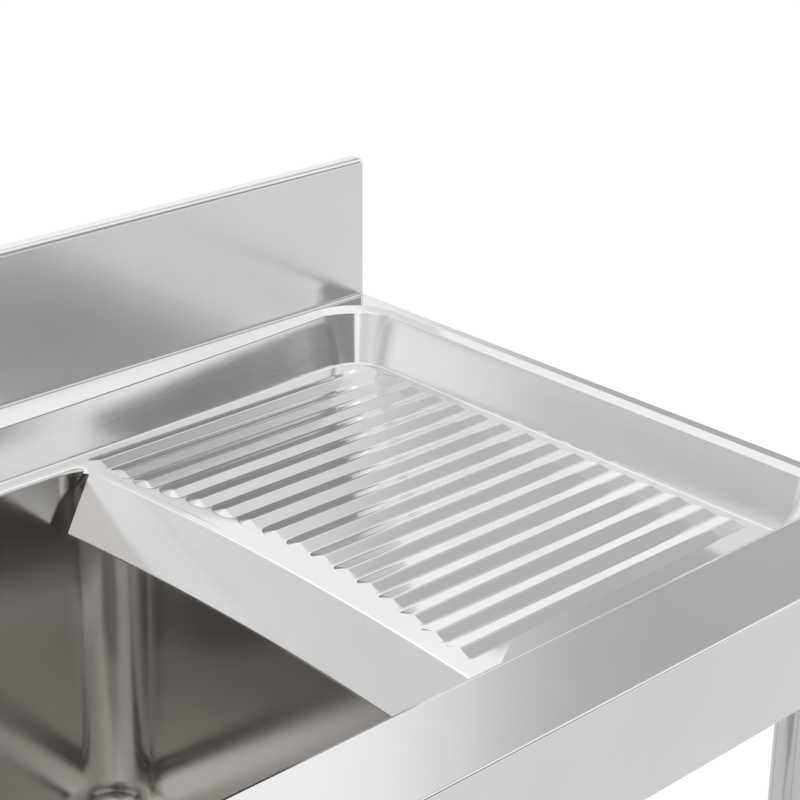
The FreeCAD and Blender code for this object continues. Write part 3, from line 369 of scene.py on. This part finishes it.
def add_recess(skin):
    """Bevel, wall and foot of the recess. Returns the hole in the rim and the floor's outline."""
    wall, wall_out, rim, rim_out = recess_loops()
    lean = math.tan(DRAFT)
    inward = -wall_out
    reach = bevel_distance(wall)
    shift = (reach - BEVEL) * math.tan(SLOPE) * lean / (1 - math.tan(SLOPE) * lean)
    wall = wall + inward * shift[:, None]
    reach = reach + shift
    crossing = RIM - reach * math.tan(SLOPE)
    rim_in = -rim_out
    loops, directions = [], []

    def put(rim_share, q, z, angle, mix):
        """A loop rim_share of the way from the bevel's edge to the wall, and q further in."""
        base = rim + (wall - rim) * rim_share[:, None]
        side = unit(rim_in * (1 - mix) + inward * mix)
        loops.append(np.column_stack([base + q[:, None] * (rim_in if mix == 0 else inward), z]))
        directions.append(with_z(side * math.sin(angle), math.cos(angle)))

    none = np.zeros(len(rim))
    one = none + 1
    tangent = RIM_CREASE * math.tan(SLOPE / 2)
    for angle in arc_points(0, SLOPE, 4):
        q = none - tangent + RIM_CREASE * math.sin(angle)
        z = none + RIM - RIM_CREASE * (1 - math.cos(angle))
        put(none, q, z, angle, 0.0)
    steep = math.pi / 2 - DRAFT
    turn = steep - SLOPE
    tangent = WALL_CREASE * math.tan(turn / 2)
    start = reach - tangent * math.cos(SLOPE)
    for share in (0.35, 0.7):
        q = start * share
        put(q / reach, none, RIM - q * math.tan(SLOPE), SLOPE, 0.0)
    centre_q = start - WALL_CREASE * math.sin(SLOPE)
    centre_z = RIM - start * math.tan(SLOPE) - WALL_CREASE * math.cos(SLOPE)
    for angle in arc_points(SLOPE, steep, 7):
        q = centre_q + WALL_CREASE * math.sin(angle)
        z = centre_z + WALL_CREASE * math.cos(angle)
        put(q / reach, none, z, angle, (angle - SLOPE) / turn)
    high = crossing - tangent * math.cos(DRAFT)
    low = FLOOR + FLOOR_FILLET * (1 - math.sin(DRAFT))
    for share in (0.33, 0.66):
        z = high + (low - high) * share
        put(one, (crossing - z) * lean, z, steep, 1.0)
    fillet_q = (crossing - low) * lean + FLOOR_FILLET * math.cos(DRAFT)
    for angle in arc_points(steep, 0, 12):
        z = none + FLOOR + FLOOR_FILLET * (1 - math.cos(angle))
        put(one, fillet_q - FLOOR_FILLET * math.sin(angle), z, angle, 1.0)
    skin.grid(loops, directions, closed=True)
    return loops[0][:, :2], loops[-1][:, :2]


def add_rim(skin, hole):
    """Flat rim, and the skirt with its rounded edge and its folded return."""
    def outline(inset):
        radius = max(DECK_CORNER - inset, 0.0)
        return rounded_rect(inset - HALF_X, inset - HALF_Y, HALF_X - inset, HALF_Y - inset, radius, 6)

    low = RIM - SKIRT
    steps = []
    for angle in arc_points(0, math.pi / 2, 6):
        steps.append((DECK_EDGE * (1 - math.sin(angle)), RIM - DECK_EDGE * (1 - math.cos(angle)),
                      math.sin(angle), math.cos(angle)))
    steps.append((0.0, (RIM + low) / 2, 1.0, 0.0))
    for angle in arc_points(math.pi / 2, math.pi, 6):
        steps.append((FOLD * (1 - math.sin(angle)), low + FOLD + FOLD * math.cos(angle),
                      math.sin(angle), math.cos(angle)))
    steps.append((SKIRT_RETURN, low, 0.0, -1.0))
    profile_grid(skin, outline, steps, flip=True)
    skin.flat(outline(DECK_EDGE)[0], [hole], UP, lambda points: with_z(points, RIM))


def add_ribs(skin):
    """The pressed ribs. Returns their outlines, which are holes in the floor."""
    profile = rib_profile()
    holes = []
    for index in range(RIBS):
        y = RIB_FIRST - index * RIB_PITCH
        spine, outward, squeeze = stadium(y)
        drawn_in = np.column_stack([squeeze, np.ones(len(squeeze))])
        loops, directions = [], []
        for distance, height, angle in profile:
            loops.append(with_z(spine + outward * drawn_in * distance, FLOOR + height))
            directions.append(with_z(outward / drawn_in * math.sin(angle), math.cos(angle)))
        holes.append(loops[0][:, :2])
        skin.grid(loops, directions, closed=True)
    return holes


def add_floor(skin, outer, holes):
    """Flat floor, rolled edge of the opening, and drip lip with its folded hem."""
    loop, outward, grown, centre, lip_directions = opening_loop()
    lip_edge = centre + lip_directions * (LIP_BOW + LIP_ROLL)
    opening = np.vstack([lip_edge, loop[1:-1]])
    skin.flat(outer, holes + [opening], UP, lambda points: with_z(points, FLOOR))

    # The floor's normals lean over towards the lip, so that it shades as the start of the roll.
    floor = skin.points[-1]
    away = np.linalg.norm(floor[:, :2] - centre, axis=1) - LIP_BOW - LIP_ROLL
    beside = (floor[:, 1] > BOWL[1]) & (floor[:, 1] < BOWL[3])
    dip = np.where(beside, LIP_DIP * np.clip(1 - np.abs(away) / LIP_DIP_REACH, 0, 1), 0)
    skin.normals[-1] = LIP_DIP_WEIGHT * np.column_stack([-np.sin(dip), 0 * dip, np.cos(dip)])

    def roll(edge, edge_out, end_angles, tail):
        """The roll down from an edge of the floor, and the tail of the profile after it."""
        loops, directions = [], []
        for share in np.linspace(0, 1, 9):
            angles = end_angles * share
            inset = LIP_ROLL * np.sin(angles)
            z = FLOOR - LIP_ROLL * (1 - np.cos(angles))
            loops.append(np.column_stack([edge - edge_out * inset[:, None], z]))
            directions.append(np.column_stack([-edge_out * np.sin(angles)[:, None], np.cos(angles)]))
        for inset, z, out, rise in tail:
            loops.append(with_z(edge - edge_out * inset, z))
            directions.append(with_z(-edge_out * out, rise))
        skin.grid(loops, directions)

    lip_end = math.pi / 2 - LIP_TILT
    roll(loop, outward, math.pi / 2 - LIP_TILT * (1 - grown / LIP_ROLL), [])
    down = np.array([math.sin(LIP_TILT), -math.cos(LIP_TILT)])
    out = toward(LIP_TILT)
    fold_radius = SHEET + HEM_GAP
    face_top = np.array([LIP_ROLL * math.sin(lip_end), FLOOR - LIP_ROLL * (1 - math.cos(lip_end))])
    fold_z = FLOOR - LIP_HEIGHT + fold_radius
    length = (face_top[1] - fold_radius * out[1] - fold_z) / math.cos(LIP_TILT)
    fold = face_top + down * length - out * fold_radius
    tail = [tuple(face_top + down * length / 2) + tuple(out)]
    for angle in arc_points(0, math.pi, 8):
        side = out * math.cos(angle) + down * math.sin(angle)
        tail.append(tuple(fold + side * fold_radius) + tuple(side))
    tail.append(tuple(fold - out * fold_radius - down * LIP_HEM) + tuple(-out))
    roll(lip_edge, lip_directions, np.full(len(lip_edge), lip_end), tail)


def build_deck():
    skin = Skin()
    rim_hole, floor_outline = add_recess(skin)
    add_rim(skin, rim_hole)
    add_floor(skin, floor_outline, add_ribs(skin))
    return sheet_object("deck_skin", skin, SHEET)


def build_bowl():
    """Drawn bowl: drafted wall, rounded floor, sunk seat for the waste and a flange outside."""
    skin = Skin()
    top = FLOOR - SHEET
    bottom = FLOOR - BOWL_DEPTH
    taper = math.tan(BOWL_DRAFT)

    def outline(inset):
        x0, y0, x1, y1 = BOWL
        return rounded_rect(x0 + inset, y0 + inset, x1 - inset, y1 - inset, BOWL_CORNER - inset, 14)

    steep = math.pi / 2 - BOWL_DRAFT
    on_wall = bottom + BOWL_FILLET * (1 - math.sin(BOWL_DRAFT))
    centre_q = (top - on_wall) * taper + BOWL_FILLET * math.cos(BOWL_DRAFT)
    bend_z = top - BOWL_BEND * (1 - math.cos(steep))
    bend_q = (top - bend_z) * taper - BOWL_BEND * math.sin(steep)
    steps = [(-BOWL_FLANGE, top, 0.0, 1.0)]
    for angle in arc_points(0, steep, 6):
        steps.append((bend_q + BOWL_BEND * math.sin(angle), top - BOWL_BEND * (1 - math.cos(angle)),
                      -math.sin(angle), math.cos(angle)))
    for share in np.linspace(0, 1, 7)[1:-1]:
        z = bend_z + (on_wall - bend_z) * share
        steps.append(((top - z) * taper, z, -math.sin(steep), math.cos(steep)))
    for angle in arc_points(steep, 0, 16):
        steps.append((centre_q - BOWL_FILLET * math.sin(angle), bottom + BOWL_FILLET * (1 - math.cos(angle)),
                      -math.sin(angle), math.cos(angle)))
    profile_grid(skin, outline, steps)
    drain = np.array([(BOWL[0] + BOWL[2]) / 2, (BOWL[1] + BOWL[3]) / 2])
    angles = np.linspace(0, 2 * math.pi, 97)[:-1]
    round_out = np.column_stack([np.cos(angles), np.sin(angles)])
    crease = SEAT_DEPTH / 2
    seat = []
    for angle in arc_points(0, SEAT_SLOPE, 6):
        seat.append((SEAT_RADIUS + crease - crease * math.sin(angle), -crease * (1 - math.cos(angle)), angle))
    low_centre = seat[-1][0] - crease * math.sin(SEAT_SLOPE)
    for angle in arc_points(SEAT_SLOPE, 0, 6)[1:]:
        seat.append((low_centre + crease * math.sin(angle),
                     -SEAT_DEPTH + crease * (1 - math.cos(angle)), angle))
    loops, directions = [], []
    for radius, z, angle in seat:
        loops.append(with_z(drain + round_out * radius, bottom + z))
        directions.append(with_z(-round_out * math.sin(angle), math.cos(angle)))
    loops.append(with_z(drain + round_out * SEAT_HOLE, bottom - SEAT_DEPTH))
    directions.append(np.tile(UP, (len(angles), 1)))
    skin.grid(loops, directions, closed=True)
    floor_loop = outline(steps[-1][0])[0]
    skin.flat(floor_loop, [loops[0][:, :2]], UP, lambda points: with_z(points, bottom))
    return sheet_object("bowl_skin", skin, SHEET)


def build_upstand():
    """Folded splash with rounded front edges, closed ends and a return behind."""
    skin = Skin()

    def outline(inset):
        reach = HALF_X - inset
        top = RIM + SPLASH_HEIGHT - inset
        radius = max(SPLASH_CORNER - inset, 0.0)
        points, normals = [np.array([reach, RIM])], [np.array([1.0, 0.0])]
        for side, turn in ((1, 0), (-1, 90)):
            for angle in np.radians(arc_points(turn, turn + 90, 8)):
                corner = np.array([side * (reach - radius), top - radius])
                points.append(corner + radius * toward(angle))
                normals.append(toward(angle))
        points.append(np.array([-reach, RIM]))
        normals.append(np.array([-1.0, 0.0]))
        return np.array(points), np.array(normals)

    steps = []
    for angle in arc_points(0, math.pi / 2, 8):
        steps.append((SPLASH_CORNER * (1 - math.sin(angle)),
                      SPLASH_Y + SPLASH_CORNER * (1 - math.cos(angle)), math.sin(angle), -math.cos(angle)))
    for angle in arc_points(math.pi / 2, math.pi, 6):
        steps.append((FOLD * (1 - math.sin(angle)), HALF_Y - FOLD - FOLD * math.cos(angle),
                      math.sin(angle), -math.cos(angle)))
    steps.append((SPLASH_RETURN, HALF_Y, 0.0, 1.0))
    loops, directions = [], []
    for inset, y, out, forward in steps:
        loop, outward = outline(inset)
        loops.append(with_y(loop, y))
        directions.append(with_y(outward * out, forward))
    skin.grid(loops, directions, flip=True)
    front = np.array([0.0, -1.0, 0.0])
    skin.flat(loops[0][:, [0, 2]], [], front, lambda points: with_y(points, SPLASH_Y))
    return sheet_object("upstand_skin", skin, SHEET)


def build_bead():
    """The bright weld bead at the upstand's foot."""
    bead = Skin()
    xs = np.linspace(BEAD_INSET - HALF_X, HALF_X - BEAD_INSET, 60)
    loops, directions = [], []
    for angle in arc_points(0, math.pi / 2, 8):
        y = SPLASH_Y - BEAD * (1 - math.cos(angle))
        z = RIM + BEAD * (1 - math.sin(angle))
        loops.append(np.column_stack([xs, np.full(len(xs), y), np.full(len(xs), z)]))
        directions.append(np.tile([0.0, -math.cos(angle), math.sin(angle)], (len(xs), 1)))
    bead.grid(loops, directions, flip=True)
    return sheet_object("upstand_bead", bead, BEAD_SHEET)


# Materials. Lengths in them are in metres.

GRAIN_HEIGHT = 0.00002
MOTTLE = 0.09


class Nodes:
    """Short names for building the node tree of a material or a world."""

    def __init__(self, owner, output):
        self.owner = owner
        owner.use_nodes = True
        self.tree = owner.node_tree
        self.tree.nodes.clear()
        self.out = self.add(output)

    def add(self, kind, **values):
        """A new node. Each value goes to the input of that name."""
        node = self.tree.nodes.new("ShaderNode" + kind)
        for name, value in values.items():
            node.inputs[name.replace("_", " ")].default_value = value
        return node

    def link(self, source, target):
        self.tree.links.new(source, target)

    def math(self, operation, *values):
        node = self.add("Math")
        node.operation = operation
        for place, value in enumerate(values):
            if hasattr(value, "is_output"):
                self.link(value, node.inputs[place])
            else:
                node.inputs[place].default_value = value
        return node.outputs[0]


def stretched(nodes, scale):
    """Object coordinates in metres, scaled apart per axis."""
    coordinates = nodes.add("TexCoord")
    mapping = nodes.add("Mapping", Scale=scale)
    nodes.link(coordinates.outputs["Object"], mapping.inputs["Vector"])
    return mapping.outputs["Vector"]


def noise(nodes, scale, size, detail=3.0, roughness=0.55):
    node = nodes.add("TexNoise", Scale=size, Detail=detail, Roughness=roughness)
    nodes.link(stretched(nodes, scale), node.inputs["Vector"])
    return node.outputs["Fac"]


def ramp(nodes, value, stops):
    node = nodes.add("ValToRGB")
    while len(node.color_ramp.elements) > 1:
        node.color_ramp.elements.remove(node.color_ramp.elements[-1])
    node.color_ramp.elements[0].position = stops[0][0]
    node.color_ramp.elements[0].color = stops[0][1]
    for place, color in stops[1:]:
        node.color_ramp.elements.new(place).color = color
    nodes.link(value, node.inputs["Fac"])
    return node.outputs["Color"]


def grey(value, warm=0.0):
    return (value * (1 + warm), value, value * (1 - warm), 1.0)


def steel(name, tone, rough, grain, grain_depth=0.2, wave=0.0, warm=0.0, spread=0.05):
    """Satin stainless: fine grain lines, soft cloudy patches and a slightly uneven gloss."""
    nodes = Nodes(bpy.data.materials.new(name), "OutputMaterial")
    shader = nodes.add("BsdfPrincipled", Metallic=1.0)
    cloud = noise(nodes, (1, 1, 1), 9.0, 4.0)
    lines = noise(nodes, grain, 1.0, 6.0, 0.7)
    tint = ramp(nodes, cloud, [(0.3, grey(tone * 0.97, warm)), (0.7, grey(tone * 1.03, warm))])
    nodes.link(tint, shader.inputs["Base Color"])
    gloss = nodes.add("MapRange", From_Min=0.3, From_Max=0.7, To_Min=rough - spread, To_Max=rough + spread)
    mixed = nodes.math("ADD", nodes.math("MULTIPLY", lines, 0.7), nodes.math("MULTIPLY", cloud, 0.3))
    nodes.link(mixed, gloss.inputs["Value"])
    nodes.link(gloss.outputs["Result"], shader.inputs["Roughness"])
    fine = nodes.add("Bump", Strength=grain_depth, Distance=GRAIN_HEIGHT)
    nodes.link(lines, fine.inputs["Height"])
    last = fine
    if wave:
        broad = nodes.add("Bump", Strength=1.0, Distance=wave)
        nodes.link(noise(nodes, (1, 1, 1), 7.0, 1.0), broad.inputs["Height"])
        nodes.link(fine.outputs["Normal"], broad.inputs["Normal"])
        last = broad
    nodes.link(last.outputs["Normal"], shader.inputs["Normal"])
    nodes.link(shader.outputs["BSDF"], nodes.out.inputs["Surface"])
    return nodes.owner


def moulded(name, color, rough, bump=0.00004):
    """Moulded plastic or rubber: a fine skin, faint mottling and uneven gloss."""
    nodes = Nodes(bpy.data.materials.new(name), "OutputMaterial")
    shader = nodes.add("BsdfPrincipled")
    cloud = noise(nodes, (1, 1, 1), 60.0, 4.0)
    skin = noise(nodes, (1, 1, 1), 900.0)
    dark = tuple(c * (1 - MOTTLE) for c in color) + (1.0,)
    light = tuple(c * (1 + MOTTLE) + 0.004 for c in color) + (1.0,)
    nodes.link(ramp(nodes, cloud, [(0.3, dark), (0.7, light)]), shader.inputs["Base Color"])
    gloss = nodes.add("MapRange", To_Min=rough - 0.1, To_Max=rough + 0.1)
    nodes.link(skin, gloss.inputs["Value"])
    nodes.link(gloss.outputs["Result"], shader.inputs["Roughness"])
    fine = nodes.add("Bump", Strength=0.4, Distance=bump)
    nodes.link(skin, fine.inputs["Height"])
    nodes.link(fine.outputs["Normal"], shader.inputs["Normal"])
    nodes.link(shader.outputs["BSDF"], nodes.out.inputs["Surface"])
    return nodes.owner


ALONG_X = (14.0, 2600.0, 2600.0)
ALONG_Z = (2600.0, 2600.0, 14.0)
MATERIALS = {
    "deck": steel("deck_steel", 0.81, 0.11, ALONG_X, wave=0.0001),
    "splash": steel("splash_steel", 0.81, 0.2, ALONG_X, wave=0.0001, spread=0.03),
    # The bowl's darker, warmer base tone is painted shade for the shaded inside of the bowl under the drip
    # lip.
    "bowl": steel("bowl_steel", 0.60, 0.17, (900.0, 900.0, 900.0), wave=0.0002, warm=0.03),
    "bead": steel("bead_steel", 0.66, 0.22, (300.0, 900.0, 900.0), grain_depth=0.5),
    "channel": steel("channel_steel", 0.56, 0.32, (500.0, 500.0, 500.0), grain_depth=0.4),
    "socket": steel("socket_steel", 0.55, 0.3, (500.0, 500.0, 1500.0), grain_depth=0.4),
    "leg": steel("leg_steel", 0.66, 0.16, ALONG_Z),
    "foot": steel("foot_steel", 0.62, 0.2, (300.0, 300.0, 2600.0)),
    "shelf": steel("shelf_steel", 0.66, 0.2, ALONG_X, wave=0.0003),
    "clamp": steel("clamp_steel", 0.56, 0.26, (700.0, 700.0, 700.0), grain_depth=0.4),
    "drain": steel("drain_steel", 0.68, 0.1, (600.0, 600.0, 600.0)),
    "basket": steel("basket_steel", 0.68, 0.14, (800.0, 800.0, 800.0)),
    "screw": moulded("screw_black", (0.03, 0.03, 0.033), 0.35),
    "insert": moulded("insert_black", (0.03, 0.03, 0.032), 0.5),
    "rubber": moulded("drain_rubber", (0.035, 0.035, 0.035), 0.6),
    "fibre": moulded("drain_fibre", (0.42, 0.31, 0.2), 0.8, bump=0.0001),
    "white": moulded("drain_plastic", (0.74, 0.74, 0.72), 0.38),
}
NODE_MATERIALS = [
    ("channel", "channel"), ("shelf_channel", "channel"), ("leg_socket", "socket"), ("leg_", "leg"),
    ("foot_insert", "insert"), ("foot_", "foot"), ("undershelf", "shelf"), ("shelf_clamp", "clamp"),
    ("drain_body", "drain"), ("drain_gasket", "rubber"), ("tail_washer", "rubber"), ("basket_seal", "rubber"),
    ("drain_washer", "fibre"), ("drain_locknut", "white"), ("tailpiece", "white"), ("tail_nut", "white"),
    ("strainer_basket", "basket"), ("basket_stem", "basket"), ("socket_screws", "screw"),
    ("clamp_screws", "screw"), ("top_deck", "deck"), ("upstand", "splash"), ("bowl", "bowl"),
]


def dress_nodes():
    for name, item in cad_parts.items():
        pick = next(kind for start, kind in NODE_MATERIALS if name.startswith(start))
        item.data.materials.clear()
        item.data.materials.append(MATERIALS[pick])


def keep(piece, material, slot, node=None, body="table"):
    piece.data.materials.append(MATERIALS[material])
    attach(piece, body)
    if node:
        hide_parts(node)


dress_nodes()
keep(build_deck(), "deck", "deck_steel", "top_deck")
keep(build_upstand(), "splash", "splash_steel", "upstand")
keep(build_bead(), "bead", "splash_steel")
keep(build_bowl(), "bowl", "bowl_steel", "bowl")


# Stage, room and camera. Lengths are in metres.

# The floor is a plain white with a share of glow, for the camera and for mirrors only. The
# camera sees it brighter by FLOOR_GLOW_SEEN.
FLOOR_TONE, FLOOR_GLOW, FLOOR_GLOW_SEEN, FLOOR_GLOW_SHARE = 0.82, 0.75, 0.42, 0.62
FLOOR_REACH, FLOOR_DROP = 30.0, 0.0005


def build_stage():
    mesh = bpy.data.meshes.new("floor")
    corners = [(x * FLOOR_REACH, y * FLOOR_REACH, 0) for x, y in ((-1, -1), (1, -1), (1, 1), (-1, 1))]
    mesh.from_pydata(corners, [], [(0, 1, 2, 3)])
    floor = bpy.data.objects.new("floor", mesh)
    bpy.context.scene.collection.objects.link(floor)
    floor.location.z = -FLOOR_DROP
    nodes = Nodes(bpy.data.materials.new("floor_white"), "OutputMaterial")
    diffuse = nodes.add("BsdfDiffuse", Color=grey(FLOOR_TONE))
    glow = nodes.add("Emission", Color=grey(1.0))
    path = nodes.add("LightPath")
    seen = nodes.math("MAXIMUM", path.outputs["Is Camera Ray"], path.outputs["Is Glossy Ray"])
    strength = nodes.math("MULTIPLY", path.outputs["Is Camera Ray"], FLOOR_GLOW_SEEN)
    nodes.link(nodes.math("ADD", strength, FLOOR_GLOW), glow.inputs["Strength"])
    mix = nodes.add("MixShader")
    nodes.link(nodes.math("MULTIPLY", seen, FLOOR_GLOW_SHARE), mix.inputs["Fac"])
    nodes.link(diffuse.outputs["BSDF"], mix.inputs[1])
    nodes.link(glow.outputs["Emission"], mix.inputs[2])
    nodes.link(mix.outputs["Shader"], nodes.out.inputs["Surface"])
    mesh.materials.append(nodes.owner)


# What each region of the room adds to its light, and its soft edges in turn and in height, each
# from where it begins to where it is full, in degrees: the dark side, its window and its upper
# part, the dark far left, two lamps, a grey ceiling patch, a narrow light strip, the grey right
# with its darker half and its lower part, the wall on the left and the low far left.
ROOM_LIGHT = 1.05
ROOM = [
    (-0.74, [(126.8, 133.5)], [(33, 30)]),
    (0.74, [(126.8, 133.5), (152, 147)], [(33, 30), (13, 9)]),
    (-0.74, [(126.8, 133.5), (152, 147)], [(30, 33), (48, 44)]),
    (-0.76, [(-139.5, -141.5)], [(23, 20.5)]),
    (0.8, [(-140, -143), (-165, -158)], [(21.5, 24), (36, 32)]),
    (0.25, [(-25, -29), (-45, -41)], [(20, 24), (38, 34)]),
    (-0.34, [(-18, -23), (-50, -44)], [(57, 59.5), (71, 68)]),
    (0.16, [(-127.2, -128.2), (-135, -131)], [(8, 12), (23, 20)]),
    (-0.24, [(38, 46), (88, 80)], [(34.5, 37.5), (58, 54)]),
    (-0.27, [(38, 46), (88, 80), (53.5, 57.5)], [(34.5, 37.5), (58, 54)]),
    (-0.56, [(40, 50), (88, 80)], [(10, 18), (37.5, 34.5)]),
    (-0.3, [(-128.2, -127.2), (-100, -112)], [(23, 20)]),
    (-0.24, [(-44, -57), (-112, -100)], [(20, 5)]),
]


def build_world():
    """A white studio with a few dark, grey and lit regions that the steel mirrors."""
    world = bpy.data.worlds.new("studio")
    bpy.context.scene.world = world
    nodes = Nodes(world, "OutputWorld")
    coordinates = nodes.add("TexCoord")
    split = nodes.add("SeparateXYZ")
    nodes.link(coordinates.outputs["Generated"], split.inputs["Vector"])

    def step(value, start, end):
        """Rises smoothly from 0 at start to 1 at end, both in degrees."""
        node = nodes.add("MapRange", From_Min=math.radians(start), From_Max=math.radians(end))
        node.interpolation_type = "SMOOTHSTEP"
        nodes.link(value, node.inputs["Value"])
        return node.outputs["Result"]

    x, y, z = (split.outputs[axis] for axis in "XYZ")
    height = nodes.math("ARCSINE", z)
    turn = nodes.math("ARCTAN2", x, y)
    light = ROOM_LIGHT
    for strength, turns, heights in ROOM:
        edges = [step(turn, *edge) for edge in turns] + [step(height, *edge) for edge in heights]
        region = edges[0]
        for edge in edges[1:]:
            region = nodes.math("MULTIPLY", region, edge)
        light = nodes.math("MULTIPLY_ADD", region, strength, light)
    room = nodes.add("Background", Color=grey(1.0))
    nodes.link(light, room.inputs["Strength"])
    white = nodes.add("Background", Color=grey(1.0))
    path = nodes.add("LightPath")
    mix = nodes.add("MixShader")
    nodes.link(path.outputs["Is Camera Ray"], mix.inputs["Fac"])
    nodes.link(room.outputs["Background"], mix.inputs[1])
    nodes.link(white.outputs["Background"], mix.inputs[2])
    nodes.link(mix.outputs["Shader"], nodes.out.inputs["Surface"])


def build_camera():
    data = bpy.data.cameras.new("camera")
    data.sensor_width = SENSOR
    data.lens = LENS
    data.clip_end = 100.0
    camera = bpy.data.objects.new("camera", data)
    bpy.context.scene.collection.objects.link(camera)
    yaw, pitch, roll = (math.radians(angle) for angle in CAMERA_TURN)
    forward = Vector((math.sin(yaw) * math.cos(pitch), math.cos(yaw) * math.cos(pitch), -math.sin(pitch)))
    right = Vector((math.cos(yaw), -math.sin(yaw), 0))
    down = forward.cross(right)
    rolled_right = math.cos(roll) * right + math.sin(roll) * down
    rolled_down = -math.sin(roll) * right + math.cos(roll) * down
    turn = Matrix((rolled_right, -rolled_down, -forward)).transposed()
    camera.matrix_world = Matrix.Translation(Vector(CAMERA_PLACE) * MM) @ turn.to_4x4()
    bpy.context.scene.camera = camera


build_stage()
build_world()
build_camera()
bpy.context.scene.view_settings.view_transform = "Standard"
